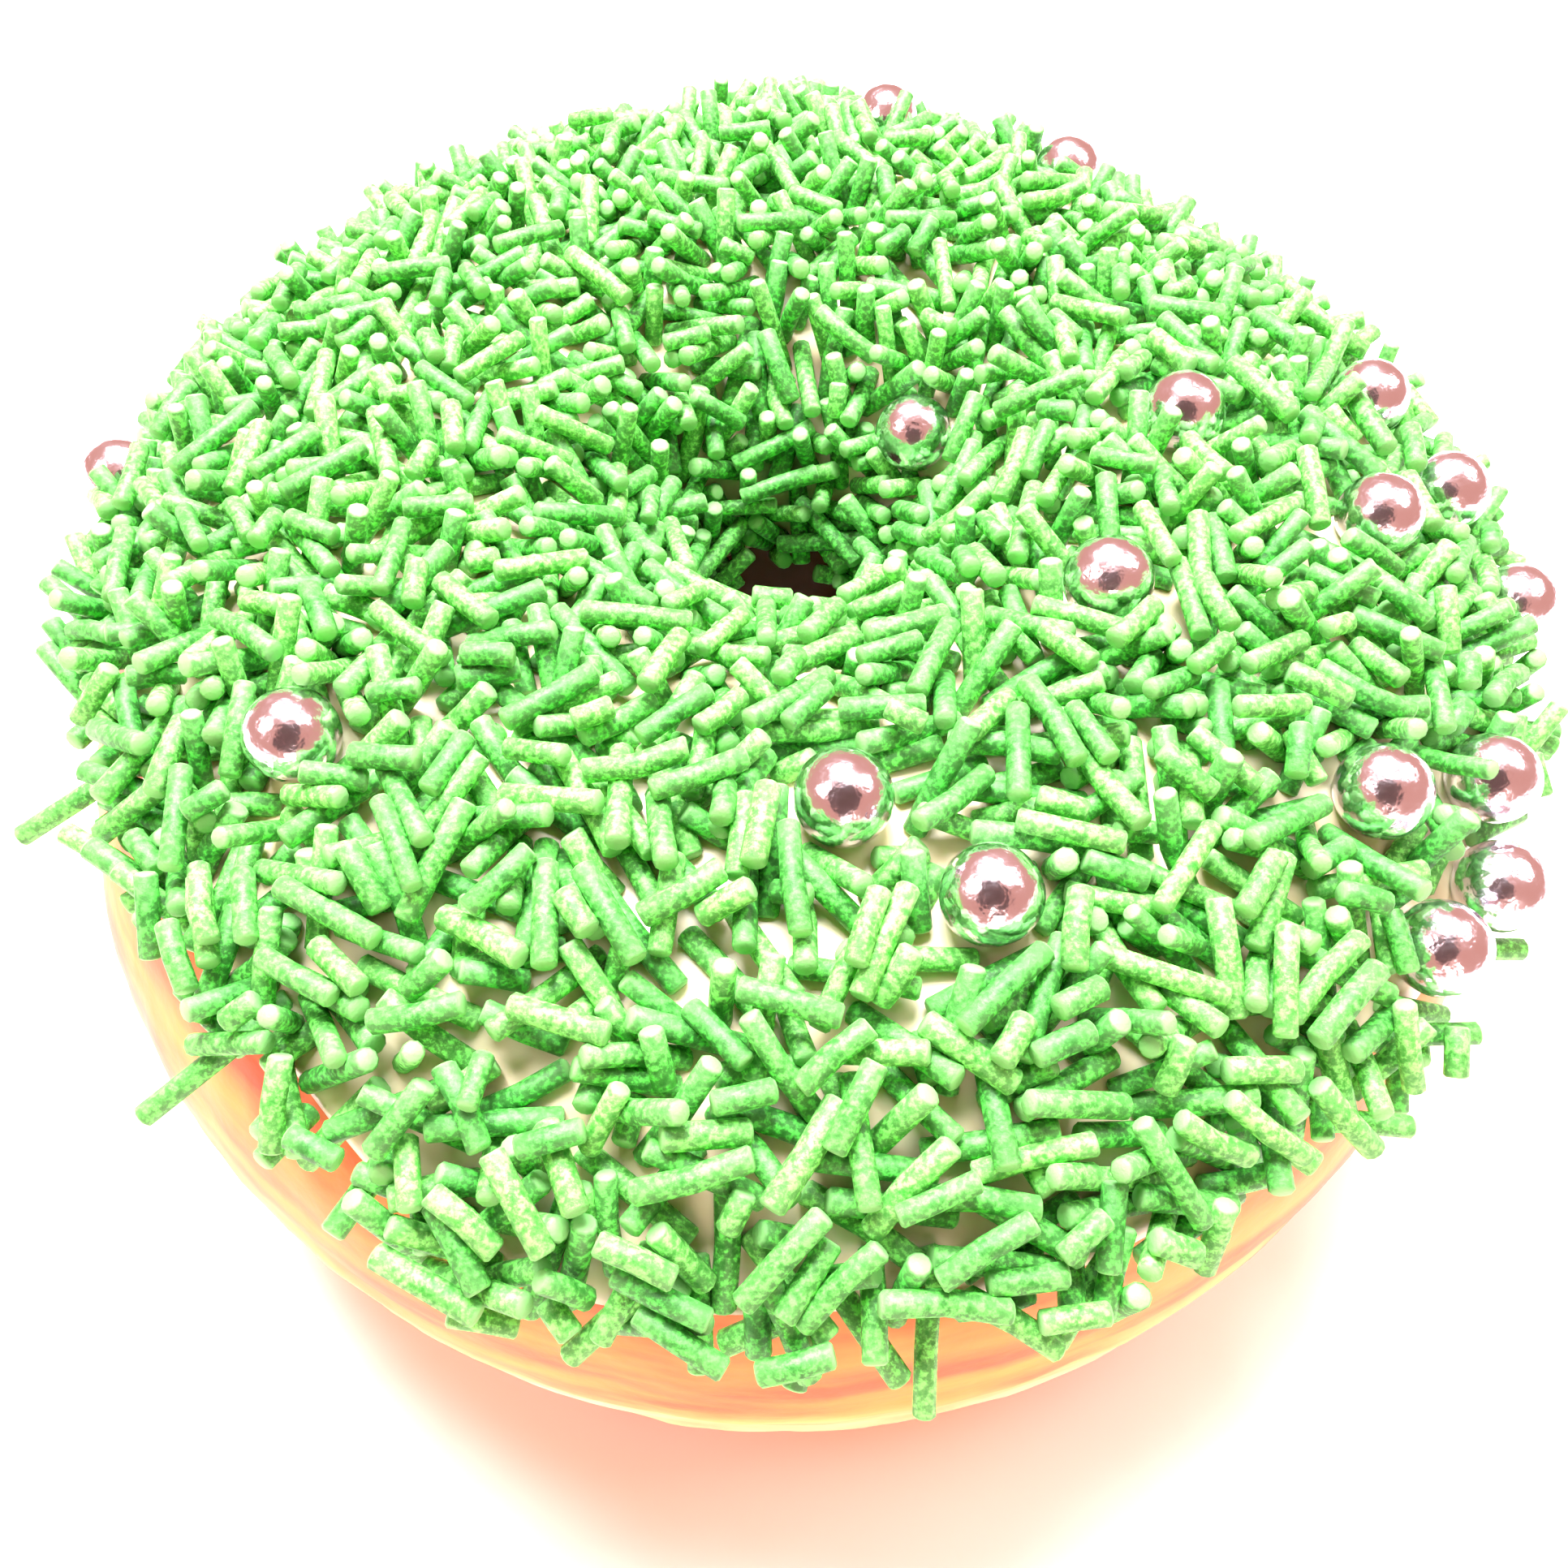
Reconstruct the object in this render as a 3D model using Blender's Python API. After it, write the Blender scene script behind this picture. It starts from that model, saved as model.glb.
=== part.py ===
"""Iced ring doughnut with green sugar sprinkles and silver sugar balls.

Metres, +Z up. The doughnut rests on the ground plane with the middle of its outline on the origin,
and its front faces -Y.
The ring angle runs round the hole, anticlockwise from +X seen from above.
The section angle runs over the ring: 0 at the outside, 90 on top, 180 in the hole.
"""
import math
import random

import bmesh
import bpy
from mathutils import Quaternion, Vector

MM = 0.001

# Dough ring
CORE_RADIUS = 22.4 * MM          # from the middle of the hole to the middle of the section
OUTER_HALF_WIDTH = 22.4 * MM
INNER_HALF_WIDTH = 14.6 * MM
UPPER_HALF_HEIGHT = 18.0 * MM
LOWER_HALF_HEIGHT = 18.7 * MM
CORE_HEIGHT = 18.0 * MM          # the lowest 0.7 mm of the section is pressed flat on the ground
SQUARENESS = 2.27                # 2 is a true ellipse, more is boxier
WAIST_ANGLE = -9.0               # the pale band round the outside lies a little under the widest line
WAIST_DEPTH = 0.5 * MM
WAIST_SPREAD = 9.0
SWELL_FROM = 10 * MM             # the hand-shaped swelling of the outline fades out towards the hole
SWELL_TO = 42 * MM
DOUGH_RING_STEPS = 56
DOUGH_SECTION_STEPS = 24

# Icing
ICING_GAP = 0.4 * MM             # to the dough, so that flat faces on the curve still stay clear
ICING_TOP = 1.3 * MM             # height of its upper side over the dough
ICING_HOLE_EDGE = 166.0
ICING_RING_STEPS = 56
ICING_OUTER_STEPS = 13           # steps across its upper side
ICING_INNER_STEPS = 13           # steps across its lower side
LIP_SHARE = 0.8                  # of the icing's height that is left at its rounded edges
LIP_INSET = 1.5                  # degrees that the lower side stops short of the upper side's edges

# Silver sugar balls, each as (ring angle, section angle)
BALL_RADIUS = 2.3 * MM
BALL_SINK = 0.15 * MM            # how far a ball sits down in the icing
SOCKET_RADIUS = 2.78 * MM
BALL_SPOTS = (
    (222.5, 66), (276, 84), (286.5, 69), (320.5, 53), (324, 95.5), (350, 61), (3, 88), (35, 128), (10, 51),
    (359.5, 44), (351, 34), (330, 40.5), (324, 33.5), (316, 37), (174, 34), (79, 50), (58, 48),
)

# Sprinkles
SPRINKLE_RADIUS = 0.55 * MM      # corner radius of a six-sided rod that stands for a round one 1.05 mm thick
SPRINKLE_SIDES = 6
SPRINKLE_COUNT = 155
SPRINKLE_LENGTHS = (4.4 * MM, 7.4 * MM)
EDGE_OVERHANG = 3.0              # degrees that a sprinkle may reach past the icing's edge
SPRINKLE_CLEARANCE = 0.45 * MM   # to the dough and to a ball
HOLE_CLEAR_RADIUS = 5.0 * MM
FULL_COVER_RADIUS = 48 * MM      # nearer the hole fewer are tried, as there is less icing there
SPIN_STEP = 0.37                 # turn of each rod about its own length from one to the next, in radians
SEED = 11
# Long ones that stick out, each as (ring angle, section angle, heading, tilt, length in mm)
STRAY_SPRINKLES = (
    (210, 46, -91, 15, 8.4), (196, 40, -164, 45, 5.8), (219, 37, -171, 36, 5.2), (235, 43, -107, 15, 8.6),
    (304, 28, -28, 32, 4.6), (313, 29, -136, 12, 4.2), (342, 42, -50, 43, 4.6), (278, 30, -100, 15, 5.5),
    (273, 31, -57, 15, 4.7), (336, 46, -63, 32, 4.6), (82, 73, -68, 43, 5.3), (90, 63, -68, 49, 4.2),
    (158, 42, -170, 50, 3.8), (259, 75, 23, 6, 9.1), (224, 57, 131, 22, 4.6),
)

# Colours
DOUGH_COLOUR = (0.80, 0.42, 0.14, 1.0)
TOPPING_COLOUR = (0.22, 0.62, 0.20, 1.0)
SILVER_COLOUR = (0.80, 0.76, 0.76, 1.0)


def plan_swell(ring):
    """How far the hand-shaped outline runs outside a true circle at a ring angle, seen from above."""
    return MM * (
        -0.6 * math.sin(ring) - 2.2 * math.cos(2 * ring) - 0.4 * math.sin(2 * ring)
        + 0.34 * math.cos(3 * ring) - 0.54 * math.sin(3 * ring) + 0.37 * math.cos(4 * ring)
    )


def icing_outer_edge(ring):
    """Section angle in degrees of the icing's lower edge on the outside of the ring."""
    slump = 7.5 * math.cos(ring - math.radians(244)) + 6.6 * math.cos(2 * (ring - math.radians(4)))
    waves = math.cos(3 * ring + 1.7) + 1.5 * math.sin(5 * ring + 1.9) + math.sin(11 * ring - 0.2)
    lifted = 3.5 * math.exp(26.0 * (math.cos(ring - math.radians(233)) - 1.0))
    return 26.0 + slump + waves + lifted


def icing_hole_edge(ring):
    """Section angle in degrees of the icing's lower edge inside the hole."""
    waves = 3.0 * math.sin(3 * ring + 0.5) + 2.0 * math.sin(5 * ring)
    return ICING_HOLE_EDGE - 5.0 * math.sin(ring) + waves


def swell_at(radius, ring):
    """The part of the plan's swelling that is felt at a distance from the middle of the hole."""
    share = min(max((radius - SWELL_FROM) / (SWELL_TO - SWELL_FROM), 0.0), 1.0)
    return share * plan_swell(ring)


def section_reach(section, grow):
    """Distance from the middle of the section to its rim, at a section angle in radians."""
    cosine = math.cos(section)
    sine = math.sin(section)
    half_width = (OUTER_HALF_WIDTH if cosine > 0 else INNER_HALF_WIDTH) + grow
    half_height = (UPPER_HALF_HEIGHT if sine > 0 else LOWER_HALF_HEIGHT) + grow
    total = abs(cosine / half_width) ** SQUARENESS + abs(sine / half_height) ** SQUARENESS
    reach = total ** (-1.0 / SQUARENESS)
    from_waist = (math.degrees(section) - WAIST_ANGLE + 180.0) % 360.0 - 180.0
    return reach - WAIST_DEPTH * math.exp(-((from_waist / WAIST_SPREAD) ** 2))


def ring_point(ring, section, grow):
    """Point at a height of grow over the dough, at a ring angle and section angle in radians."""
    reach = section_reach(section, grow)
    radius = CORE_RADIUS + reach * math.cos(section)
    height = CORE_HEIGHT + reach * math.sin(section)
    radius += swell_at(radius, ring)
    return Vector((radius * math.cos(ring), radius * math.sin(ring), max(height, 0.0)))


def ring_axes(ring, section, grow):
    """Point, direction round the ring, direction over it and outward normal."""
    step = 1e-4
    point = ring_point(ring, section, grow)
    around = (ring_point(ring + step, section, grow) - point).normalized()
    over = (ring_point(ring, section + step, grow) - point).normalized()
    return point, around, over, around.cross(over).normalized()


def angles_at(point):
    """Ring angle, section angle and distance from the middle of the section, for any point."""
    ring = math.atan2(point.y, point.x)
    radius = math.hypot(point.x, point.y)
    across = radius - swell_at(radius, ring) - CORE_RADIUS
    up = point.z - CORE_HEIGHT
    return ring, math.atan2(up, across), math.hypot(across, up)


def height_over_dough(point):
    """Roughly how far a point is outside the dough."""
    _, section, distance = angles_at(point)
    return distance - section_reach(section, 0.0)


def is_over_icing(point):
    """Whether a point lies over the icing, or only a little past its edges."""
    ring, section, _ = angles_at(point)
    angle = math.degrees(section) % 360.0
    if angle > 270.0:
        angle -= 360.0
    return icing_outer_edge(ring) - EDGE_OVERHANG < angle < icing_hole_edge(ring) + EDGE_OVERHANG


def new_material(name, colour, roughness, metallic=0.0):
    material = bpy.data.materials.new(name)
    material.use_nodes = True
    shader = material.node_tree.nodes["Principled BSDF"]
    shader.inputs["Base Color"].default_value = colour
    shader.inputs["Roughness"].default_value = roughness
    shader.inputs["Metallic"].default_value = metallic
    material.diffuse_color = colour
    return material


def file_under(obj, collection):
    """Keeps an object in one collection only."""
    for holder in list(obj.users_collection):
        holder.objects.unlink(obj)
    collection.objects.link(obj)
    return obj


def torus_grid(name, ring_steps, section_steps, place):
    """A torus primitive whose points are moved to place(ring angle, step number)."""
    bpy.ops.mesh.primitive_torus_add(
        major_segments=ring_steps, minor_segments=section_steps, major_radius=0.024, minor_radius=0.01
    )
    obj = bpy.context.active_object
    obj.name = name
    obj.data.name = name
    for index, vertex in enumerate(obj.data.vertices):
        ring_index, section_index = divmod(index, section_steps)
        vertex.co = place(2 * math.pi * ring_index / ring_steps, section_index)
    return obj


def make_dough():
    """The fried ring, flat underneath where it rests."""
    def place(ring, step):
        return ring_point(ring, 2 * math.pi * step / DOUGH_SECTION_STEPS, 0.0)
    return torus_grid("dough_ring", DOUGH_RING_STEPS, DOUGH_SECTION_STEPS, place)


def make_icing():
    """A skin over the top of the ring with a rounded, wavy lip outside and another in the hole."""
    steps = ICING_OUTER_STEPS + ICING_INNER_STEPS

    def place(ring, step):
        low = icing_outer_edge(ring)
        high = icing_hole_edge(ring)
        if step < ICING_OUTER_STEPS:
            share = step / (ICING_OUTER_STEPS - 1)
            lip = min(share, 1.0 - share) < 0.01
            grow = ICING_TOP * LIP_SHARE if lip else ICING_TOP
            return ring_point(ring, math.radians(low + (high - low) * share), grow)
        share = (steps - 1 - step) / (ICING_INNER_STEPS - 1)
        section = low + LIP_INSET + (high - low - 2 * LIP_INSET) * share
        return ring_point(ring, math.radians(section), ICING_GAP)
    return torus_grid("icing_with_sprinkles", ICING_RING_STEPS, steps, place)


def ball_centres():
    grow = ICING_TOP - BALL_SINK + BALL_RADIUS
    return [ring_point(math.radians(ring), math.radians(section), grow) for ring, section in BALL_SPOTS]


def segment_distance(point, start, end):
    along = end - start
    share = min(max((point - start).dot(along) / along.length_squared, 0.0), 1.0)
    return (point - start - along * share).length


def lay_sprinkle(ring, section, heading, tilt, length, stick_out=False):
    """Ends of a sprinkle laid on the icing: it rests on the icing's top, sunk in a little."""
    point, around, over, normal = ring_axes(ring, section, ICING_TOP)
    flat = around * math.cos(heading) + over * math.sin(heading)
    along = flat * math.cos(tilt) + normal * math.sin(tilt)
    start = point if stick_out else point - along * length / 2
    for _ in range(4):
        lowest = min(height_over_dough(start + along * length * share / 4) for share in range(5))
        wanted = ICING_TOP + (0.0 if tilt > 0.2 else 0.25 * MM)
        start = start + normal * (wanted - lowest)
    return start, start + along * length


def is_free(start, end, centres):
    """Clear of the balls, of the dough and of the middle of the hole."""
    for centre in centres:
        if segment_distance(centre, start, end) < BALL_RADIUS + SPRINKLE_RADIUS + SPRINKLE_CLEARANCE:
            return False
    for share in range(7):
        point = start.lerp(end, share / 6)
        if height_over_dough(point) < SPRINKLE_RADIUS + SPRINKLE_CLEARANCE:
            return False
        if math.hypot(point.x, point.y) < HOLE_CLEAR_RADIUS + SPRINKLE_RADIUS:
            return False
    return True


def scatter_sprinkles(centres):
    """Ends of every sprinkle, the long ones first, each put where the nearest one is furthest off."""
    draw = random.Random(SEED)
    laid = []
    for ring, section, heading, tilt, length in STRAY_SPRINKLES:
        start, end = lay_sprinkle(
            math.radians(ring), math.radians(section), math.radians(heading), math.radians(tilt),
            length * MM, stick_out=True,
        )
        if is_free(start, end, centres):
            laid.append((start, end))
    lengths = sorted((draw.uniform(*SPRINKLE_LENGTHS) for _ in range(SPRINKLE_COUNT)), reverse=True)
    for length in lengths:
        best = None
        for _ in range(40):
            ring = draw.uniform(0.0, 2 * math.pi)
            low = icing_outer_edge(ring) + 4.0
            high = icing_hole_edge(ring) - 6.0
            section = math.radians(draw.uniform(low, high))
            heading = draw.uniform(0.0, 2 * math.pi)
            tilt = math.radians(draw.choice((0.0, 2.0, 4.0, 6.0, 18.0, 32.0)))
            radius = math.hypot(*ring_point(ring, section, ICING_TOP).xy)
            if draw.random() > radius / FULL_COVER_RADIUS:
                continue
            start, end = lay_sprinkle(ring, section, heading, tilt, length)
            if not (is_over_icing(start) and is_over_icing(end) and is_free(start, end, centres)):
                continue
            middle = (start + end) / 2
            room = min(((middle - (a + b) / 2).length for a, b in laid), default=1.0)
            if best is None or room > best[0]:
                best = (room, start, end)
        if best is not None:
            laid.append(best[1:])
    return laid


def make_sprinkles(ends, collection):
    """A six-sided rod between each pair of ends."""
    for number, (start, end) in enumerate(ends, 1):
        along = end - start
        spin = Quaternion((0, 0, 1), SPIN_STEP * number)
        turn = along.to_track_quat("Z", "Y") @ spin
        bpy.ops.mesh.primitive_cylinder_add(
            vertices=SPRINKLE_SIDES, radius=SPRINKLE_RADIUS, depth=along.length,
            location=(start + end) / 2, rotation=turn.to_euler(),
        )
        rod = bpy.context.active_object
        rod.name = f"sprinkle_{number:03d}"
        file_under(rod, collection)


def make_sockets(centres, collection):
    """Rounded hollows in the icing, one under each ball, with a pole of each pointing down into it."""
    for number, centre in enumerate(centres, 1):
        ring, section = (math.radians(angle) for angle in BALL_SPOTS[number - 1])
        normal = ring_axes(ring, section, ICING_TOP)[3]
        bpy.ops.mesh.primitive_uv_sphere_add(
            segments=10, ring_count=8, radius=SOCKET_RADIUS,
            location=centre, rotation=normal.to_track_quat("Z", "Y").to_euler(),
        )
        socket = bpy.context.active_object
        socket.name = f"socket_{number:02d}"
        file_under(socket, collection)


def apply_boolean(obj, collection, operation, solver):
    modifier = obj.modifiers.new(operation.lower(), "BOOLEAN")
    modifier.operation = operation
    modifier.solver = solver
    modifier.operand_type = "COLLECTION"
    modifier.collection = collection
    bpy.context.view_layer.objects.active = obj
    bpy.ops.object.modifier_apply(modifier=modifier.name)
    for cutter in list(collection.objects):
        bpy.data.objects.remove(cutter, do_unlink=True)
    bpy.data.collections.remove(collection)


def keep_main_body(obj):
    """Fills sealed hollows and drops loose scraps, by keeping the one body with the most faces."""
    mesh = bmesh.new()
    mesh.from_mesh(obj.data)
    bmesh.ops.triangulate(mesh, faces=mesh.faces)
    left = set(mesh.verts)
    bodies = []
    while left:
        queue = [left.pop()]
        body = set(queue)
        while queue:
            vertex = queue.pop()
            for edge in vertex.link_edges:
                other = edge.other_vert(vertex)
                if other not in body:
                    body.add(other)
                    queue.append(other)
        left -= body
        bodies.append(body)
    bodies.sort(key=len)
    for body in bodies[:-1]:
        bmesh.ops.delete(mesh, geom=list(body), context="VERTS")
    bmesh.ops.recalc_face_normals(mesh, faces=mesh.faces)
    mesh.to_mesh(obj.data)
    mesh.free()


def make_topping(centres, whole):
    """Icing, sprinkles fused on, sockets for the balls."""
    icing = file_under(make_icing(), whole)
    rods = bpy.data.collections.new("sprinkle_rods")
    sockets = bpy.data.collections.new("ball_sockets")
    for collection in (rods, sockets):
        collection.hide_render = True
        bpy.context.scene.collection.children.link(collection)
    make_sprinkles(scatter_sprinkles(centres), rods)
    make_sockets(centres, sockets)
    for obj in list(rods.objects) + list(sockets.objects):
        obj.hide_render = True
        obj.display_type = "WIRE"
    apply_boolean(icing, rods, "UNION", "MANIFOLD")
    apply_boolean(icing, sockets, "DIFFERENCE", "MANIFOLD")
    keep_main_body(icing)
    return icing


def make_balls(centres, collection):
    """One ball's mesh, shared by every ball."""
    balls = []
    for number, centre in enumerate(centres, 1):
        if not balls:
            bpy.ops.mesh.primitive_ico_sphere_add(subdivisions=2, radius=BALL_RADIUS, location=centre)
            ball = bpy.context.active_object
            ball.data.name = "silver_ball"
        else:
            ball = balls[0].copy()
            collection.objects.link(ball)
            ball.location = centre
        ball.name = f"silver_ball_{number:02d}"
        balls.append(file_under(ball, collection))
    return balls


def hang_on_centre(objects, collection):
    """Parents everything to an empty, placed so that the middle of the outline is over the origin."""
    bpy.context.view_layer.update()
    points = [obj.matrix_world @ vertex.co for obj in objects for vertex in obj.data.vertices]
    low = Vector([min(point[axis] for point in points) for axis in range(3)])
    high = Vector([max(point[axis] for point in points) for axis in range(3)])
    centre = bpy.data.objects.new("doughnut_centre", None)
    collection.objects.link(centre)
    centre.location = (-(low.x + high.x) / 2, -(low.y + high.y) / 2, -low.z)
    for obj in objects:
        obj.parent = centre


def main():
    for obj in list(bpy.data.objects):
        bpy.data.objects.remove(obj, do_unlink=True)
    whole = bpy.data.collections.new("doughnut")
    bpy.context.scene.collection.children.link(whole)
    centres = ball_centres()
    dough = file_under(make_dough(), whole)
    topping = make_topping(centres, whole)
    balls = make_balls(centres, whole)
    dough.data.materials.append(new_material("dough", DOUGH_COLOUR, 0.6))
    topping.data.materials.clear()
    topping.data.materials.append(new_material("topping", TOPPING_COLOUR, 0.6))
    balls[0].data.materials.append(new_material("silver", SILVER_COLOUR, 0.2, 1.0))
    dough.data.shade_smooth()
    balls[0].data.shade_smooth()
    hang_on_centre([dough, topping] + balls, whole)


main()
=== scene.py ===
# %% [markdown]
# # A ring doughnut with green sprinkles
# The real thing is a fried yeast ring, about 90 mm across, dipped face down first in cream
# fondant and then in a tray of green sugar sprinkles, with a few silver sugar balls dropped on.
# The solids of the ring, the topping and the balls are already made and stay where they are.
# This lesson dresses them: a finer ring, a smooth icing, some five thousand loose sprinkles
# and bright balls, each in the place that its solid holds.

# %% Load the fixed frame
import math

import bmesh
import bpy
import numpy as np
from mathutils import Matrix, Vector


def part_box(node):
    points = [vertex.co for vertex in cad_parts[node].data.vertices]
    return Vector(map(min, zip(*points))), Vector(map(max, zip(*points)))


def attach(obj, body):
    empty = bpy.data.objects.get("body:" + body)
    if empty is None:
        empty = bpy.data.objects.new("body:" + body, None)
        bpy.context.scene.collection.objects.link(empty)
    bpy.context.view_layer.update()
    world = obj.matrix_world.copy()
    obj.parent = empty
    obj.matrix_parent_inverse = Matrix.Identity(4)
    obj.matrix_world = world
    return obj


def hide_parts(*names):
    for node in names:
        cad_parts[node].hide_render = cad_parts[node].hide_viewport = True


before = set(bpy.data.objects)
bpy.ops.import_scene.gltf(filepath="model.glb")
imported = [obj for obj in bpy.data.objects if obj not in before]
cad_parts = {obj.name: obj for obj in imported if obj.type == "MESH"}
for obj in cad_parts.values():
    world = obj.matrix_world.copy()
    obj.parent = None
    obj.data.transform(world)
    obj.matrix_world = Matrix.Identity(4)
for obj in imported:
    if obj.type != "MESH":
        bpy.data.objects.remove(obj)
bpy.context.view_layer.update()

MM = 0.001

# %% [markdown]
# ## Small helpers
# Operators act on whatever is selected, so each step starts by selecting one object alone.
# A finished piece keeps its place in its mesh, with the object itself at the origin, so that
# patterns that are measured in object coordinates stay put.

# %% Selecting, applying and finishing
def pick(obj):
    """Makes one object the selected and active one."""
    bpy.ops.object.select_all(action="DESELECT")
    obj.select_set(True)
    bpy.context.view_layer.objects.active = obj
    return obj


def apply_modifiers(obj):
    pick(obj)
    for modifier in list(obj.modifiers):
        bpy.ops.object.modifier_apply(modifier=modifier.name)


def settle(obj, name, material):
    """Names a piece, moves its place into its mesh, gives it its finish and lets it ride."""
    pick(obj)
    bpy.ops.object.transform_apply(location=True, rotation=True, scale=True)
    obj.name = name
    obj.data.name = name
    obj.data.materials.clear()
    obj.data.materials.append(material)
    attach(obj, "root")
    print(name, "has", sum(len(face.vertices) - 2 for face in obj.data.polygons), "triangles")
    return obj


def get_points(mesh):
    points = np.empty(len(mesh.vertices) * 3)
    mesh.vertices.foreach_get("co", points)
    return points.reshape(-1, 3)


def set_points(mesh, points):
    mesh.vertices.foreach_set("co", np.ascontiguousarray(points, dtype=np.float32).ravel())
    mesh.update()


def set_attribute(mesh, name, values):
    """Stores one number for each point, for the material to read."""
    layer = mesh.attributes.new(name, "FLOAT", "POINT")
    layer.data.foreach_set("value", np.ascontiguousarray(values, dtype=np.float32))


# %% [markdown]
# ## Colours and nodes
# Colours are read off as sRGB hex values, the way a colour picker shows them. Blender's
# shaders count in linear light, so one function turns each value into that. Another adds a
# node with its settings, links and values, which is all that building a material needs.

# %% One function for colours and one for nodes
def colour(hex_value):
    """Linear RGBA of an sRGB hex value such as "E8A050"."""
    channels = [int(hex_value[i:i + 2], 16) / 255 for i in (0, 2, 4)]
    return [c / 12.92 if c <= 0.04045 else ((c + 0.055) / 1.055) ** 2.4 for c in channels] + [1.0]


def wire(tree, node, inputs):
    """Links each input that is given another node's output, and sets each that is given a value."""
    for key, value in inputs.items():
        if isinstance(value, bpy.types.NodeSocket):
            tree.links.new(value, node.inputs[key])
        else:
            node.inputs[key].default_value = value


def add_node(tree, kind, inputs=None, settings=None, stops=()):
    """Adds a node with its settings and inputs, and a colour ramp's stops as (place, hex value)."""
    node = tree.nodes.new(kind)
    for key, value in (settings or {}).items():
        setattr(node, key, value)
    wire(tree, node, inputs or {})
    if stops:
        elements = node.color_ramp.elements
        while len(elements) < len(stops):
            elements.new(0.5)
        for element, (place, hex_value) in zip(elements, stops):
            element.position = place
            element.color = colour(hex_value)
    return node


def new_material(name):
    """A material with its Principled shader and its node tree."""
    material = bpy.data.materials.new(name)
    material.use_nodes = True
    return material, material.node_tree, material.node_tree.nodes["Principled BSDF"]


# %% [markdown]
# ## The shape of the ring
# Ring and icing share one shape, so it is written once. The section is a rounded box, a
# superellipse: fuller than an ellipse, as risen dough is. The outline seen from above is a
# circle that a few slow waves push in and out, because the ring was shaped by hand. Every
# later piece asks these functions where the surface is and which way it faces.

# %% Where the surface of the ring is
CORE_RADIUS = 22.4 * MM          # from the middle of the hole to the middle of the section
OUTER_HALF_WIDTH = 22.4 * MM
INNER_HALF_WIDTH = 14.6 * MM
UPPER_HALF_HEIGHT = 18.0 * MM
LOWER_HALF_HEIGHT = 18.7 * MM
CORE_HEIGHT = 18.0 * MM
SQUARENESS = 2.27                # 2 is a true ellipse, more is boxier
WAIST_ANGLE = -9.0               # in degrees: the pale band lies a little under the widest line
WAIST_DEPTH = 0.5 * MM
WAIST_SPREAD = 9.0


def plan_swell(ring):
    """How far the hand-shaped outline runs outside a true circle."""
    return MM * (
        -0.6 * np.sin(ring) - 2.2 * np.cos(2 * ring) - 0.4 * np.sin(2 * ring)
        + 0.34 * np.cos(3 * ring) - 0.54 * np.sin(3 * ring) + 0.37 * np.cos(4 * ring)
    )


SWELL_FROM = 10 * MM             # nearer the hole than this the ring is round
SWELL_TO = 42 * MM


def swell_share(radius):
    """How much of that swelling is felt at a distance from the middle of the hole."""
    return np.clip((radius - SWELL_FROM) / (SWELL_TO - SWELL_FROM), 0.0, 1.0)


def section_reach(section, grow):
    """From the middle of the section to its rim, grown by a height over the dough."""
    cosine, sine = np.cos(section), np.sin(section)
    half_width = np.where(cosine > 0, OUTER_HALF_WIDTH, INNER_HALF_WIDTH) + grow
    half_height = np.where(sine > 0, UPPER_HALF_HEIGHT, LOWER_HALF_HEIGHT) + grow
    total = np.abs(cosine / half_width) ** SQUARENESS + np.abs(sine / half_height) ** SQUARENESS
    from_waist = (np.degrees(section) - WAIST_ANGLE + 180.0) % 360.0 - 180.0
    return total ** (-1.0 / SQUARENESS) - WAIST_DEPTH * np.exp(-((from_waist / WAIST_SPREAD) ** 2))


def raw_point(ring, section, grow):
    """Point over the ring, before the ring is centred."""
    ring, section = np.broadcast_arrays(np.asarray(ring, float), np.asarray(section, float))
    reach = section_reach(section, grow)
    radius = CORE_RADIUS + reach * np.cos(section)
    height = CORE_HEIGHT + reach * np.sin(section)
    radius = radius + swell_share(radius) * plan_swell(ring)
    return np.stack([radius * np.cos(ring), radius * np.sin(ring), np.maximum(height, 0.0)], axis=-1)


# %% Centre the shape on the solid ring
outline = raw_point(np.linspace(0, 2 * np.pi, 56, endpoint=False), 0.0, 0.0)
outline_middle = (outline.min(axis=0) + outline.max(axis=0)) / 2
node_low, node_high = (np.array(corner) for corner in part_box("dough_ring"))
RING_CENTRE = (node_low + node_high) / 2 - outline_middle
RING_CENTRE[2] = 0.0
print("middle of the hole, mm:", np.round(RING_CENTRE * 1000, 2))


def ring_point(ring, section, grow):
    """Point at a height over the dough, at a ring angle and a section angle in radians."""
    return raw_point(ring, section, grow) + RING_CENTRE


def ring_axes(ring, section, grow):
    """Point, direction round the ring, direction over it, and the way the surface faces."""
    step = 1e-4
    point = ring_point(ring, section, grow)
    around = ring_point(ring + step, section, grow) - point
    over = ring_point(ring, section + step, grow) - point
    around /= np.linalg.norm(around, axis=-1, keepdims=True)
    over /= np.linalg.norm(over, axis=-1, keepdims=True)
    facing = np.cross(around, over)
    return point, around, over, facing / np.linalg.norm(facing, axis=-1, keepdims=True)


def height_over_dough(points):
    """Roughly how far points are outside the dough, with their ring and section angles."""
    local = points - RING_CENTRE
    ring = np.arctan2(local[..., 1], local[..., 0])
    radius = np.hypot(local[..., 0], local[..., 1])
    across = radius - swell_share(radius) * plan_swell(ring) - CORE_RADIUS
    up = local[..., 2] - CORE_HEIGHT
    section = np.arctan2(up, across)
    return np.hypot(across, up) - section_reach(section, 0.0), ring, section


# %% [markdown]
# ## The icing's edge
# Fondant runs a little before it sets, so its edge hangs lower here and higher there, in slow
# bulges with small waves on them. It is given as a section angle for each ring angle.

# %% Edges of the icing, outside and in the hole
ICING_TOP = 1.3 * MM
ICING_GAP = 0.05 * MM


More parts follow.
